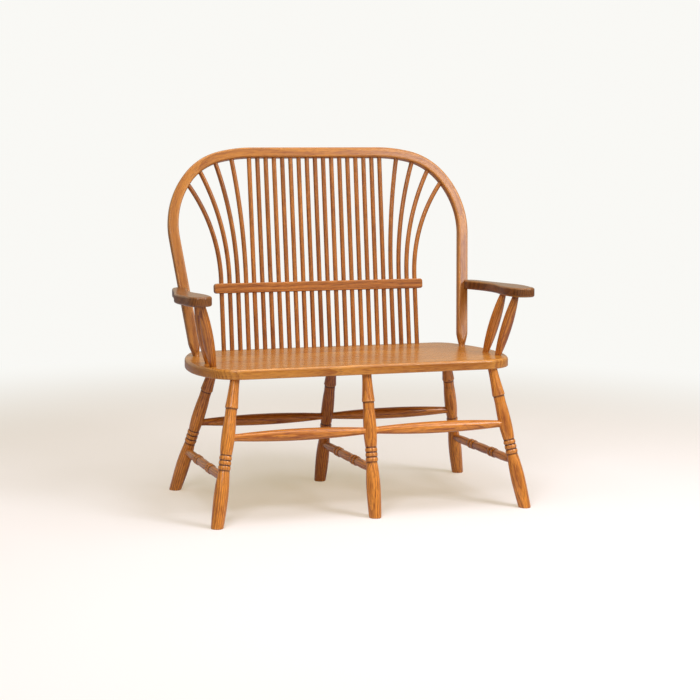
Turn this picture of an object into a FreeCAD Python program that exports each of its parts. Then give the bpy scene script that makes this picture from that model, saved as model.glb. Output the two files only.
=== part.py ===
import FreeCAD, Part
import math
import os
import Sketcher

# A free-standing oak deacons bench: plank seat, six turned legs tied by turned
# stretchers, a bent bow with twenty-five spindles through a thin rail, and two
# shaped arms on turned posts. X runs along the bench, Y towards its back, Z up,
# and the origin lies on the floor under the middle of the whole bench.

Vec = FreeCAD.Vector
doc = FreeCAD.newDocument("deacons_bench")

# lengths in millimetres under this one count as nought
nought = 1e-6

# Driving sizes in millimetres and degrees
size = {
    # fits
    "joint_gap": 0.05,
    "end_gap": 0.3,
    "socket_reach": 12.0,
    # seat plank; heights of the seat and the arms are taken at one place behind its front
    "seat_height": 450.0,
    "seat_height_from_front": 222.0,
    "seat_tilt": 1.15,
    "seat_thick": 30.0,
    "seat_half_width": 503.0,
    "seat_front": 255.31,
    "seat_depth": 505.0,
    "seat_front_corner": 105.0,
    "seat_front_turn": 68.0,
    "seat_side_round": 375.0,
    "seat_back_turn": 113.0,
    "seat_back_corner": 75.0,
    "seat_top_round": 9.0,
    "seat_under_round": 4.0,
    # legs: how far in they meet the seat, and how far they splay to the floor
    "leg_front_from_end": 94.0,
    "leg_front_from_front": 32.0,
    "leg_front_splay_x": 78.0,
    "leg_front_splay_y": 90.0,
    "leg_back_from_end": 116.0,
    "leg_back_from_back": 137.0,
    "leg_back_splay_x": 99.0,
    "leg_back_splay_y": 131.0,
    "leg_tenon": 18.0,
    "leg_neck_length": 14.0,
    "leg_foot_spare": 16.0,
    # leg radii and where they lie, as parts of the way from the floor up
    "leg_foot_radius": 18.6,
    "leg_lower_radius": 21.6,
    "leg_bead_radius": 18.6,
    "leg_groove_radius": 16.4,
    "leg_upper_radius": 20.0,
    "leg_waist_radius": 17.2,
    "leg_collar_radius": 19.6,
    "leg_neck_radius": 14.4,
    "leg_lower_at": 0.20,
    "leg_bead_low_at": 0.385,
    "leg_bead_high_at": 0.485,
    "leg_upper_at": 0.58,
    "leg_waist_at": 0.75,
    "leg_collar_at": 0.806,
    "leg_groove_step": 0.003,
    "leg_bead_step": 0.006,
    "leg_foot_bulge": 0.5,
    "leg_lower_bulge": 1.2,
    "leg_upper_bulge": 0.9,
    "leg_collar_hollow": 0.5,
    # stretchers: where they meet the legs, as parts of the way from the floor up
    "front_long_at": 0.602,
    "back_long_at": 0.545,
    "long_end_radius": 11.0,
    "long_middle_radius": 18.0,
    "side_front_at": 0.335,
    "side_back_at": 0.312,
    "side_end_radius": 11.0,
    "side_swell_radius": 14.0,
    "side_bead_radius": 15.6,
    "side_groove_radius": 12.2,
    "side_bead_length": 24.0,
    "side_bead_from_middle": 58.0,
    "side_end_bulge": 1.6,
    "stretcher_tenon": 14.0,
    "stretcher_neck": 8.0,
    # bow, measured in its own raked plane from the level of the seat; its widest
    # points stand level with the seat's ends
    "bow_rake": 17.7,
    "bow_from_back": 144.6,
    "bow_width": 32.5,
    "bow_thick": 26.0,
    "bow_edge": 5.0,
    "bow_rise": 666.0,
    "bow_inside_seat": 0.1576,
    "bow_first_radius": 470.0,
    "bow_first_turn": 13.8,
    "bow_second_radius": 212.7,
    "bow_second_turn": 35.8,
    "bow_third_radius": 280.5,
    "bow_end_lean": 6.2,
    "bow_foot_radius": 9.8,
    "bow_foot_taper": 51.0,
    "bow_foot_neck": 3.0,
    "bow_foot_bulge": 0.8,
    "bow_foot_tenon": 18.0,
    # spindles
    "spindle_radius": 7.25,
    "spindle_row_from_end": 174.92,
    "spindle_past_top": 8.68,
    "spindle_from_back": 24.2,
    "spindle_tenon": 16.0,
    "spindle_straight_end": 26.0,
    "fan_start_above_rail": 8.0,
    "fan_one_from_side": 220.8424,
    "fan_two_from_side": 165.3424,
    "fan_three_from_side": 110.8424,
    "fan_four_from_side": 67.8424,
    # middle rail
    "rail_height": 626.0,
    "rail_tall": 31.5,
    "rail_thick": 24.0,
    "rail_past_spindle": 23.92,
    "rail_edge": 3.0,
    "rail_end_round": 8.0,
    # arms and their posts
    "arm_height": 664.0,
    "arm_tilt": 1.72,
    "arm_thick": 29.0,
    "arm_edge": 6.0,
    "arm_short_of_limb": 6.34,
    "arm_from_front": 6.0,
    "arm_outside_limb": 48.11,
    "arm_paddle_half": 44.0,
    "post_front_from_end": 46.0,
    "post_front_from_front": 103.0,
    "post_front_from_middle": 18.0,
    "post_front_from_tip": 62.0,
    "post_back_from_end": 52.0,
    "post_back_from_front": 189.0,
    "post_back_from_middle": 24.0,
    "post_back_from_tip": 148.0,
    "post_end_radius": 9.8,
    "post_middle_radius": 16.6,
    "post_tenon": 14.0,
    "post_neck": 3.0,
}

seatBack = size["seat_depth"] - size["seat_front"]
heightY = size["seat_height_from_front"] - size["seat_front"]
seatLean = math.radians(size["seat_tilt"])
armLean = math.radians(size["arm_tilt"])
bowLean = math.radians(size["bow_rake"])
bowSide = size["seat_half_width"] - size["bow_inside_seat"]


def seatTop(y):
    return size["seat_height"] - math.tan(seatLean) * (y - heightY)


def armTop(y):
    return size["arm_height"] - math.tan(armLean) * (y - heightY)


def underSeat(x, y):
    # the point under the seat at a given plan position
    return Vec(x, y, seatTop(y) - size["seat_thick"] / math.cos(seatLean))


def underArm(x, y):
    return Vec(x, y, armTop(y) - size["arm_thick"] / math.cos(armLean))


# Bow centre line in its own plane: a straight top, three arcs, a straight limb
def bowChain():
    half = size["bow_width"] / 2
    rise = size["bow_rise"] - half
    turnEnd = 90.0 + size["bow_end_lean"]
    turns = [size["bow_first_turn"], size["bow_second_turn"]]
    turns.append(turnEnd - sum(turns))
    radii = [size["bow_first_radius"] - half, size["bow_second_radius"] - half,
             size["bow_third_radius"] - half]
    # how far the arcs carry the line past its flat top
    reachOut = radii[-1]
    heading = 0.0
    for radius, following, turn in zip(radii, radii[1:], turns):
        heading += math.radians(turn)
        reachOut += (radius - following) * math.sin(heading)
    x = bowSide - half - reachOut
    points = [(0.0, rise), (x, rise)]
    heading = 0.0
    arcs = []
    for radius, turn in zip(radii, turns):
        turned = heading + math.radians(turn)
        centre = (x - radius * math.sin(heading), rise - radius * math.cos(heading))
        middle = (heading + turned) / 2
        arcs.append((centre, radius, heading, turned,
                     (centre[0] + radius * math.sin(middle),
                      centre[1] + radius * math.cos(middle))))
        x = centre[0] + radius * math.sin(turned)
        rise = centre[1] + radius * math.cos(turned)
        points.append((x, rise))
        heading = turned
    lean = math.radians(size["bow_end_lean"])
    down = (-math.sin(lean), -math.cos(lean))
    drop = (rise - size["bow_foot_taper"]) / math.cos(lean)
    points.append((x + down[0] * drop, rise + down[1] * drop))
    return points, arcs, down


bowPoints, bowArcs, bowDown = bowChain()


def bowCentre(x):
    # rise of the centre line above a plan position on its upper side
    if x <= bowPoints[1][0]:
        return bowPoints[1][1]
    for centre, radius, start, end, middle in bowArcs:
        if x <= centre[0] + radius * math.sin(min(end, math.pi / 2)):
            return centre[1] + math.sqrt(radius ** 2 - (x - centre[0]) ** 2)
    return bowPoints[-2][1]


def bowSpot(x, rise):
    # a point of the raked centre plane in the bench's frame
    y = seatBack - size["bow_from_back"] + size["bow_thick"] / 2 / math.cos(bowLean)
    return Vec(x, y + rise * math.sin(bowLean), size["seat_height"] + rise * math.cos(bowLean))


# Leg lines from the floor to the underside of the seat
frontTopX = size["seat_half_width"] - size["leg_front_from_end"]
frontTopY = size["leg_front_from_front"] - size["seat_front"]
backTopX = size["seat_half_width"] - size["leg_back_from_end"]
backTopY = seatBack - size["leg_back_from_back"]
legEnds = {}
for word, side in (("left", -1), ("centre", 0), ("right", 1)):
    foot = Vec(side * (frontTopX + size["leg_front_splay_x"]),
               frontTopY - size["leg_front_splay_y"], 0)
    legEnds["front_leg_" + word] = (foot, underSeat(side * frontTopX, frontTopY))
for word, side in (("left", -1), ("centre", 0), ("right", 1)):
    foot = Vec(side * (backTopX + size["leg_back_splay_x"]),
               backTopY + size["leg_back_splay_y"], 0)
    legEnds["back_leg_" + word] = (foot, underSeat(side * backTopX, backTopY))

# Spindle lines, numbered from the left end to the right end
fanTops = [bowSide - size["fan_%s_from_side" % word] for word in ("one", "two", "three", "four")]
straightCount = 8
sideCount = straightCount + len(fanTops)
spindlePitch = (size["seat_half_width"] - size["spindle_row_from_end"]) / sideCount
spindleTopPitch = (bowPoints[1][0] + size["spindle_past_top"]) / straightCount
spindleY = seatBack - size["spindle_from_back"]
foot = Vec(0, spindleY, seatTop(spindleY))
middleTop = bowSpot(0, bowCentre(0))
lowerRun = (middleTop - foot).normalize()


def seatSpot(number):
    return Vec(number * spindlePitch, foot.y, foot.z)


def railSpot(z):
    return foot.y + (z - foot.z) * lowerRun.y / lowerRun.z


railTopZ = size["rail_height"] + size["rail_tall"]
fanStartZ = railTopZ + size["fan_start_above_rail"]


# Lengths worked out from the sizes above
def span(start, end):
    return (end - start).Length


size["rail_half_length"] = sideCount * spindlePitch + size["rail_past_spindle"]
size["leg_front_side_length"] = span(*legEnds["front_leg_left"])
size["leg_front_centre_length"] = span(*legEnds["front_leg_centre"])
size["leg_back_side_length"] = span(*legEnds["back_leg_left"])
size["leg_back_centre_length"] = span(*legEnds["back_leg_centre"])
for index, spot in enumerate(bowPoints):
    size["bow_point_%d_x" % index] = spot[0]
    size["bow_point_%d_rise" % index] = spot[1]
for index, arc in enumerate(bowArcs):
    size["bow_arc_%d_radius" % index] = arc[1]
turnOne = math.radians(size["seat_front_turn"])
turnTwo = math.radians(size["seat_back_turn"])
size["seat_long_round"] = (size["seat_depth"]
                           - size["seat_front_corner"] * (1 - math.cos(turnOne))
                           - size["seat_side_round"] * math.cos(turnOne)
                           - size["seat_back_corner"] * (1 + math.cos(turnTwo))
                           ) / -math.cos(turnTwo)

# Seat outline, right half, from the middle of the front edge
seatStraight = (size["seat_half_width"] - size["seat_front_corner"] * math.sin(turnOne)
                - size["seat_side_round"] * (1 - math.sin(turnOne)))
seatChain = [(0.0, 0.0), (seatStraight, 0.0)]
seatMiddles = [None]
x, y = seatStraight, 0.0
for radius, start, end in ((size["seat_front_corner"], 0.0, turnOne),
                           (size["seat_side_round"], turnOne, math.pi / 2),
                           (size["seat_long_round"], math.pi / 2, turnTwo),
                           (size["seat_back_corner"], turnTwo, math.pi)):
    centre = (x - radius * math.sin(start), y + radius * math.cos(start))
    half = (start + end) / 2
    seatMiddles.append((centre[0] + radius * math.sin(half), centre[1] - radius * math.cos(half),
                        radius))
    x = centre[0] + radius * math.sin(end)
    y = centre[1] - radius * math.cos(end)
    seatChain.append((x, y))
seatChain.append((0.0, size["seat_depth"]))
seatMiddles.extend([None, None])
for index, spot in enumerate(seatChain):
    size["seat_point_%d_x" % index] = spot[0]
    size["seat_point_%d_y" % index] = spot[1]

# The sheet with every size
sheet = doc.addObject("Spreadsheet::Sheet", "sizes")


def writeSheet():
    for row, (name, value) in enumerate(size.items(), 1):
        sheet.set("A%d" % row, name)
        sheet.set("B%d" % row, repr(float(value)))
        if sheet.getAlias("B%d" % row) is None:
            sheet.setAlias("B%d" % row, name)


def joinSize(name, value):
    # a length worked out while a piece is placed gets its own cell
    if name not in size:
        size[name] = value
        row = len(size)
        sheet.set("A%d" % row, name)
        sheet.set("B%d" % row, repr(float(value)))
        sheet.setAlias("B%d" % row, name)
    return "sizes." + name


writeSheet()
doc.recompute()


# Frames
def alongAxis(start, end, sideways=None):
    # a placement whose own Z runs from start to end
    up = (end - start).normalize()
    side = sideways if sideways is not None else Vec(1, 0, 0)
    side = side - up * side.dot(up)
    if side.Length < nought:
        side = Vec(0, 1, 0) - up * up.y
    side = side.normalize()
    across = up.cross(side)
    matrix = FreeCAD.Matrix(side.x, across.x, up.x, start.x,
                            side.y, across.y, up.y, start.y,
                            side.z, across.z, up.z, start.z,
                            0, 0, 0, 1)
    return FreeCAD.Placement(matrix)


def sketchOn(body, name, role):
    sketch = body.newObject("Sketcher::SketchObject", name)
    plane = [item for item in body.Origin.OriginFeatures if item.Role == role][0]
    sketch.AttachmentSupport = (plane, [""])
    sketch.MapMode = "FlatFace"
    return sketch


def drawChain(sketch, spots, middles, names, radiusNames, closed):
    # lines and arcs through the spots, each spot tied to its two sizes
    count = len(spots) if closed else len(spots) - 1
    curves = []
    ends = []
    for index in range(count):
        first = Vec(spots[index][0], spots[index][1], 0)
        following = spots[(index + 1) % len(spots)]
        last = Vec(following[0], following[1], 0)
        middle = middles[index]
        if middle is None:
            curves.append(Part.LineSegment(first, last))
            ends.append((index, 1, 2))
            continue
        pin = Vec(middle[0], middle[1], 0)
        leftward = (pin - first).cross(last - pin).z > 0
        curves.append(Part.Arc(first, pin, last) if leftward else Part.Arc(last, pin, first))
        ends.append((index, 1, 2) if leftward else (index, 2, 1))
    sketch.addGeometry(curves, False)
    rules = []
    ties = []
    for index in range(count):
        if middles[index] is not None:
            if radiusNames and radiusNames[index]:
                ties.append((len(rules), radiusNames[index]))
            rules.append(Sketcher.Constraint("Radius", index, sketch.Geometry[index].Radius))
    for index in range(count):
        following = (index + 1) % count
        if following == 0 and not closed:
            continue
        rules.append(Sketcher.Constraint("Coincident", ends[index][0], ends[index][2],
                                         ends[following][0], ends[following][1]))
    corners = [(item[0], item[1]) for item in ends]
    if not closed:
        corners.append((ends[-1][0], ends[-1][2]))
    for spot, corner, pair in zip(spots, corners, names):
        for value, kind, axis, name in ((spot[0], "DistanceX", -2, pair[0]),
                                        (spot[1], "DistanceY", -1, pair[1])):
            if abs(value) < nought:
                rules.append(Sketcher.Constraint("PointOnObject", corner[0], corner[1], axis))
                continue
            ties.append((len(rules), name))
            rules.append(Sketcher.Constraint(kind, -1, 1, corner[0], corner[1], value))
    sketch.addConstraint(rules)
    for rule, name in ties:
        sketch.setExpression("Constraints[%d]" % rule, name)


def bulged(first, last, bulge):
    # the middle of an arc between two profile spots, pushed out by the bulge
    if bulge == 0:
        return None
    return ((first[0] + last[0]) / 2 + bulge, (first[1] + last[1]) / 2)


def turned(label, rows, placement):
    # a turned piece: rows hold radius, place on the axis, their sizes and a bulge
    body = doc.addObject("PartDesign::Body", label)
    sketch = sketchOn(body, label + "_profile", "XZ_Plane")
    spots = [(0.0, rows[0][2])] + [(row[0], row[2]) for row in rows] + [(0.0, rows[-1][2])]
    names = [("", rows[0][3])] + [(row[1], row[3]) for row in rows] + [("", rows[-1][3])]
    middles = [None]
    for row, following in zip(rows, rows[1:]):
        middles.append(bulged((row[0], row[2]), (following[0], following[2]), row[4]))
    middles.extend([None, None])
    drawChain(sketch, spots, middles, names, None, True)
    shape = body.newObject("PartDesign::Revolution", label + "_turning")
    shape.Profile = sketch
    shape.ReferenceAxis = (sketch, ["V_Axis"])
    shape.Angle = 360
    body.Tip = shape
    body.Placement = placement
    sketch.Visibility = False
    return body


def rod(label, radiusName, gapName, start, end):
    # a round cutter a little wider than the tenon it makes room for
    tool = doc.addObject("Part::Cylinder", label)
    expression = "sizes." + radiusName
    if gapName:
        expression += " + sizes." + gapName
    tool.setExpression("Radius", expression)
    tool.setExpression("Height", joinSize(label + "_depth", span(start, end)))
    tool.Placement = alongAxis(start, end)
    return tool


def cutFrom(label, base, tools):
    group = doc.addObject("Part::Compound", label + "_sockets")
    group.Links = tools
    piece = doc.addObject("Part::Cut", label)
    piece.Base = base
    piece.Tool = group
    piece.Refine = False
    return piece


pieces = {}
seatTools = []
bowTools = []
railTools = []
gap = size["end_gap"]
reach = size["socket_reach"]

# Legs, each cut level at the floor
footBlock = 3 * size["leg_lower_radius"]
joinSize("foot_block", footBlock)


def groundBlock(label, low):
    block = doc.addObject("Part::Box", label)
    block.setExpression("Length", "2 * sizes.foot_block")
    block.setExpression("Width", "2 * sizes.foot_block")
    block.setExpression("Height", "sizes.foot_block")
    block.Placement = FreeCAD.Placement(low - Vec(footBlock, footBlock, footBlock),
                                        FreeCAD.Rotation())
    return block


def legRows(lengthName):
    # the leg's profile from the spare wood under the floor to the tenon in the seat
    length = size[lengthName]
    rows = []

    def add(radiusName, place, expression, bulge=0):
        rows.append((size[radiusName], "sizes." + radiusName, place, expression, bulge))

    spare = size["leg_foot_spare"]
    base = "sizes.leg_foot_spare"
    line = "sizes." + lengthName

    def at(name, shift=0.0):
        place = spare + length * (size[name] + shift)
        rule = "%s + %s * (sizes.%s + %s)" % (base, line, name, repr(shift))
        return place, rule

    groove = size["leg_groove_step"]
    beads = size["leg_bead_step"]
    add("leg_foot_radius", 0.0, "0")
    add("leg_foot_radius", spare, base, size["leg_foot_bulge"])
    add("leg_lower_radius", *at("leg_lower_at"), size["leg_lower_bulge"])
    add("leg_groove_radius", *at("leg_bead_low_at", -groove), 0)
    step = (size["leg_bead_high_at"] - size["leg_bead_low_at"]) / 3
    for bead in range(3):
        part = "(sizes.leg_bead_high_at - sizes.leg_bead_low_at) / 3"
        place = spare + length * (size["leg_bead_low_at"] + bead * step)
        rule = "%s + %s * (sizes.leg_bead_low_at + %d * %s)" % (base, line, bead, part)
        add("leg_groove_radius", place, rule, size["leg_bead_radius"] - size["leg_groove_radius"])
    add("leg_groove_radius", *at("leg_bead_high_at"), 0)
    add("leg_waist_radius", *at("leg_bead_high_at", beads), size["leg_foot_bulge"])
    add("leg_upper_radius", *at("leg_upper_at"), size["leg_upper_bulge"])
    add("leg_waist_radius", *at("leg_waist_at"), 0)
    add("leg_waist_radius", *at("leg_collar_at", -beads), 0)
    add("leg_collar_radius", *at("leg_collar_at"), -size["leg_collar_hollow"])
    neck = spare + length - size["leg_neck_length"]
    add("leg_neck_radius", neck, "%s + %s - sizes.leg_neck_length" % (base, line), 0)
    tip = spare + length + size["leg_tenon"]
    add("leg_neck_radius", tip, "%s + %s + sizes.leg_tenon" % (base, line), 0)
    return rows


legLength = {
    "front_leg_left": "leg_front_side_length",
    "front_leg_centre": "leg_front_centre_length",
    "front_leg_right": "leg_front_side_length",
    "back_leg_left": "leg_back_side_length",
    "back_leg_centre": "leg_back_centre_length",
    "back_leg_right": "leg_back_side_length",
}
legBlanks = {}
legTools = {name: [] for name in legEnds}
for name, (low, high) in legEnds.items():
    run = (high - low).normalize()
    start = low - run * size["leg_foot_spare"]
    blank = turned(name + "_turned", legRows(legLength[name]),
                   alongAxis(start, high, Vec(1, 1, 0)))
    legBlanks[name] = blank
    seatTools.append(rod(name + "_socket", "leg_neck_radius", "joint_gap",
                         high - run * reach, high + run * (size["leg_tenon"] + gap)))

# Stretchers between the legs
def legPoint(name, share):
    low, high = legEnds[name]
    return low + (high - low) * size[share]


def stretcher(label, first, last, shares, legRadius, endName, makeRows):
    # a turned rail whose ends sit in round sockets of two legs
    begin = legPoint(first, shares[0])
    finish = legPoint(last, shares[1])
    run = (finish - begin).normalize()
    inset = size[legRadius] - size["stretcher_tenon"]
    start = begin + run * inset
    end = finish - run * inset
    lengthName = label + "_length"
    joinSize(lengthName, span(start, end))
    pieces[label] = turned(label, makeRows(lengthName), alongAxis(start, end))
    out = run * (size[legRadius] + reach)
    legTools[first].append(rod(label + "_socket_a", endName, "joint_gap",
                               start - run * gap, begin + out))
    legTools[last].append(rod(label + "_socket_b", endName, "joint_gap",
                              end + run * gap, finish - out))


def longRows(lengthName):
    length = size[lengthName]
    neck = size["stretcher_tenon"] + size["stretcher_neck"]
    ends = "sizes.long_end_radius"
    neckRule = "(sizes.stretcher_tenon + sizes.stretcher_neck)"
    line = "sizes." + lengthName
    low = size["long_end_radius"]
    swell = size["long_middle_radius"] - low
    return [(low, ends, 0.0, "0", 0),
            (low, ends, neck, neckRule, swell),
            (low, ends, length - neck, "%s - %s" % (line, neckRule), 0),
            (low, ends, length, line, 0)]


def sideRows(lengthName):
    length = size[lengthName]
    neck = size["stretcher_tenon"] + size["stretcher_neck"]
    neckRule = "(sizes.stretcher_tenon + sizes.stretcher_neck)"
    line = "sizes." + lengthName
    low = size["side_end_radius"]
    groove = size["side_groove_radius"]
    rise = size["side_bead_radius"] - groove
    bead = size["side_bead_length"]
    away = size["side_bead_from_middle"]
    lowRule = "sizes.side_end_radius"
    grooveRule = "sizes.side_groove_radius"
    swell = size["side_end_bulge"]
    rows = [(low, lowRule, 0.0, "0", 0), (low, lowRule, neck, neckRule, swell)]
    for side in (-1, 1):
        offsets = [away, away + bead, away + 2 * bead]
        rules = ["sizes.side_bead_from_middle",
                 "sizes.side_bead_from_middle + sizes.side_bead_length",
                 "sizes.side_bead_from_middle + 2 * sizes.side_bead_length"]
        if side < 0:
            offsets.reverse()
            rules.reverse()
        bulges = [rise, rise, size["side_swell_radius"] - groove if side < 0 else swell]
        for offset, rule, bulge in zip(offsets, rules, bulges):
            sign = "-" if side < 0 else "+"
            rows.append((groove, grooveRule, length / 2 + side * offset,
                         "%s / 2 %s (%s)" % (line, sign, rule), bulge))
    rows.append((low, lowRule, length - neck, "%s - %s" % (line, neckRule), 0))
    rows.append((low, lowRule, length, line, 0))
    return rows


for row in ("front", "back"):
    shares = [row + "_long_at"] * 2
    legs = [row + "_leg_" + place for place in ("left", "centre", "right")]
    stretcher(row + "_stretcher_left", legs[0], legs[1], shares,
              "leg_upper_radius", "long_end_radius", longRows)
    stretcher(row + "_stretcher_right", legs[1], legs[2], shares,
              "leg_upper_radius", "long_end_radius", longRows)
for place in ("left", "centre", "right"):
    stretcher("side_stretcher_" + place, "front_leg_" + place, "back_leg_" + place,
              ["side_front_at", "side_back_at"], "leg_lower_radius", "side_end_radius", sideRows)

for name, blank in legBlanks.items():
    level = doc.addObject("Part::Cut", name + "_level")
    level.Base = blank
    level.Tool = groundBlock(name + "_ground", legEnds[name][0])
    pieces[name] = cutFrom(name, level, legTools[name])

# Bow: a pipe along half the centre line, mirrored, with a round foot on each limb
bowTilt = FreeCAD.Rotation(Vec(1, 0, 0), -size["bow_rake"])
bowFrame = FreeCAD.Placement(bowSpot(0, 0), bowTilt)
bowBody = doc.addObject("PartDesign::Body", "bow_bend")
bowPath = sketchOn(bowBody, "bow_path", "XZ_Plane")
pathMiddles = [None] + [arc[4] for arc in bowArcs] + [None]
pathRadii = [None] + ["sizes.bow_arc_%d_radius" % index for index in range(3)] + [None]
pathNames = [("sizes.bow_point_%d_x" % index, "sizes.bow_point_%d_rise" % index)
             for index in range(len(bowPoints))]
drawChain(bowPath, bowPoints, pathMiddles, pathNames, pathRadii, False)
bowSection = sketchOn(bowBody, "bow_section", "YZ_Plane")
halfThick = size["bow_thick"] / 2
topRise = size["bow_rise"]
edge = size["bow_edge"]
low = topRise - size["bow_width"]
corner = edge * (1 - math.sqrt(0.5))
sectionRing = [(-halfThick + edge, topRise), (halfThick - edge, topRise),
               (halfThick, topRise - edge), (halfThick, low + edge),
               (halfThick - edge, low), (-halfThick + edge, low),
               (-halfThick, low + edge), (-halfThick, topRise - edge)]
ringMiddles = [None, (halfThick - corner, topRise - corner), None,
               (halfThick - corner, low + corner), None,
               (-halfThick + corner, low + corner), None,
               (-halfThick + corner, topRise - corner)]
halfRule = "sizes.bow_thick / 2"
sides = {-halfThick + edge: "-%s + sizes.bow_edge" % halfRule,
         halfThick - edge: "%s - sizes.bow_edge" % halfRule,
         halfThick: halfRule, -halfThick: "-" + halfRule}
heights = {topRise: "sizes.bow_rise", topRise - edge: "sizes.bow_rise - sizes.bow_edge",
           low: "sizes.bow_rise - sizes.bow_width",
           low + edge: "sizes.bow_rise - sizes.bow_width + sizes.bow_edge"}
ringNames = [(sides[spot[0]], heights[spot[1]]) for spot in sectionRing]
ringRadii = [None, "sizes.bow_edge"] * 4
drawChain(bowSection, sectionRing, ringMiddles, ringNames, ringRadii, True)
bowPipe = bowBody.newObject("PartDesign::AdditivePipe", "bow_pipe")
bowPipe.Profile = bowSection
bowPipe.Spine = (bowPath, [""])
bowMirror = bowBody.newObject("PartDesign::Mirrored", "bow_mirror")
bowMirror.Originals = [bowPipe]
mirrorPlane = [item for item in bowBody.Origin.OriginFeatures if item.Role == "YZ_Plane"][0]
bowMirror.MirrorPlane = (mirrorPlane, [""])
bowBody.Tip = bowMirror
bowBody.Placement = bowFrame

limbEnd = Vec(bowPoints[-1][0], 0, bowPoints[-1][1])
limbRun = Vec(bowDown[0], 0, bowDown[1])


def bowFoot(side):
    # the limb's end: a squared stub turned down to a round tenon
    name = "bow_foot_left" if side < 0 else "bow_foot_right"
    start = bowFrame.multVec(Vec(side * limbEnd.x, 0, limbEnd.z))
    run = bowTilt.multVec(Vec(side * limbRun.x, 0, limbRun.z))
    seatHit = start + run * ((start.z - seatTop(start.y)) / (-run.z - run.y * math.tan(seatLean)))
    end = seatHit + run * size["bow_foot_tenon"]
    taper = span(start, seatHit)
    whole = span(start, end)
    square = doc.addObject("Part::Box", name + "_square")
    square.setExpression("Length", "sizes.bow_width")
    square.setExpression("Width", "sizes.bow_thick")
    square.setExpression("Height", joinSize("bow_foot_whole", whole))
    inPlane = bowTilt.multVec(Vec(1, 0, 0))
    frame = alongAxis(start, start + run, inPlane)
    shift = Vec(-size["bow_width"] / 2, -size["bow_thick"] / 2, 0)
    square.Placement = FreeCAD.Placement(frame.multVec(shift), frame.Rotation)
    wide = math.hypot(size["bow_width"], size["bow_thick"]) / 2
    joinSize("bow_foot_wide", wide)
    neck = taper - size["bow_foot_neck"]
    rows = [(wide, "sizes.bow_foot_wide", 0.0, "0", size["bow_foot_bulge"]),
            (size["bow_foot_radius"], "sizes.bow_foot_radius", neck,
             joinSize("bow_foot_run", neck), 0),
            (size["bow_foot_radius"], "sizes.bow_foot_radius", whole,
             "sizes.bow_foot_whole", 0)]
    cone = turned(name + "_turned", rows, frame)
    stub = doc.addObject("Part::MultiCommon", name)
    stub.Shapes = [square, cone]
    seatTools.append(rod(name + "_socket", "bow_foot_radius", "joint_gap",
                         seatHit - run * reach, end + run * gap))
    return stub


bowBlank = doc.addObject("Part::MultiFuse", "bow_blank")
bowBlank.Shapes = [bowBody, bowFoot(-1), bowFoot(1)]
bowBlank.Refine = True

# Spindles: straight ones are dowels, fanned ones leave the rail in an arc
for number in range(-sideCount, sideCount + 1):
    label = "spindle_%02d" % (number + sideCount + 1)
    low = seatSpot(number)
    side = -1 if number < 0 else 1
    count = abs(number)
    if count <= straightCount:
        x = number * spindleTopPitch
        top = bowSpot(x, bowCentre(abs(x)))
        run = (top - low).normalize()
        start = low - run * size["spindle_tenon"]
        dowel = doc.addObject("Part::Cylinder", label)
        dowel.setExpression("Radius", "sizes.spindle_radius")
        dowel.setExpression("Height", joinSize("spindle_%d_length" % count, span(start, top)))
        dowel.Placement = alongAxis(start, top)
        pieces[label] = dowel
        endRun = run
    else:
        x = side * fanTops[count - straightCount - 1]
        top = bowSpot(x, bowCentre(abs(x)))
        run = lowerRun
        start = low - run * size["spindle_tenon"]
        bend = low + run * ((fanStartZ - low.z) / run.z)
        gone = top - bend
        along = gone.dot(run)
        sideways = gone - run * along
        away = sideways.Length
        last = size["spindle_straight_end"]
        angle = 2 * math.atan(away / (along + last))
        radius = (along - last * math.cos(angle)) / math.sin(angle)
        base = span(start, bend)
        mid = angle / 2
        spots = [(0.0, 0.0), (0.0, base),
                 (radius * (1 - math.cos(angle)), base + radius * math.sin(angle)),
                 (away, base + along)]
        middles = [None, (radius * (1 - math.cos(mid)), base + radius * math.sin(mid)), None]
        tag = "fan_%d_" % (count - straightCount)
        names = []
        for index, spot in enumerate(spots):
            names.append((joinSize(tag + "x_%d" % index, spot[0]),
                          joinSize(tag + "rise_%d" % index, spot[1])))
        bendRule = joinSize(tag + "bend", radius)
        body = doc.addObject("PartDesign::Body", label)
        path = sketchOn(body, label + "_path", "XZ_Plane")
        drawChain(path, spots, middles, names, [None, bendRule, None], False)
        ring = sketchOn(body, label + "_ring", "XY_Plane")
        circle = ring.addGeometry(Part.Circle(Vec(0, 0, 0), Vec(0, 0, 1),
                                              size["spindle_radius"]), False)
        ring.addConstraint(Sketcher.Constraint("Coincident", circle, 3, -1, 1))
        rule = ring.addConstraint(Sketcher.Constraint("Radius", circle, size["spindle_radius"]))
        ring.setExpression("Constraints[%d]" % rule, "sizes.spindle_radius")
        pipe = body.newObject("PartDesign::AdditivePipe", label + "_pipe")
        pipe.Profile = ring
        pipe.Spine = (path, [""])
        body.Tip = pipe
        body.Placement = alongAxis(start, bend, sideways)
        pieces[label] = body
        endRun = (run * math.cos(angle) + sideways.normalize() * math.sin(angle)).normalize()
    seatTools.append(rod(label + "_seat_socket", "spindle_radius", "joint_gap",
                         start - run * gap, low + run * reach))
    bowTools.append(rod(label + "_bow_socket", "spindle_radius", "joint_gap",
                        top - endRun * (size["bow_width"] / 2 + reach), top + endRun * gap))
    railLow = low + run * ((size["rail_height"] - reach - low.z) / run.z)
    railHigh = low + run * ((railTopZ + reach - low.z) / run.z)
    railTools.append(rod(label + "_rail_hole", "spindle_radius", "joint_gap", railLow, railHigh))

pieces["back_bow"] = cutFrom("back_bow", bowBlank, bowTools)

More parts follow.
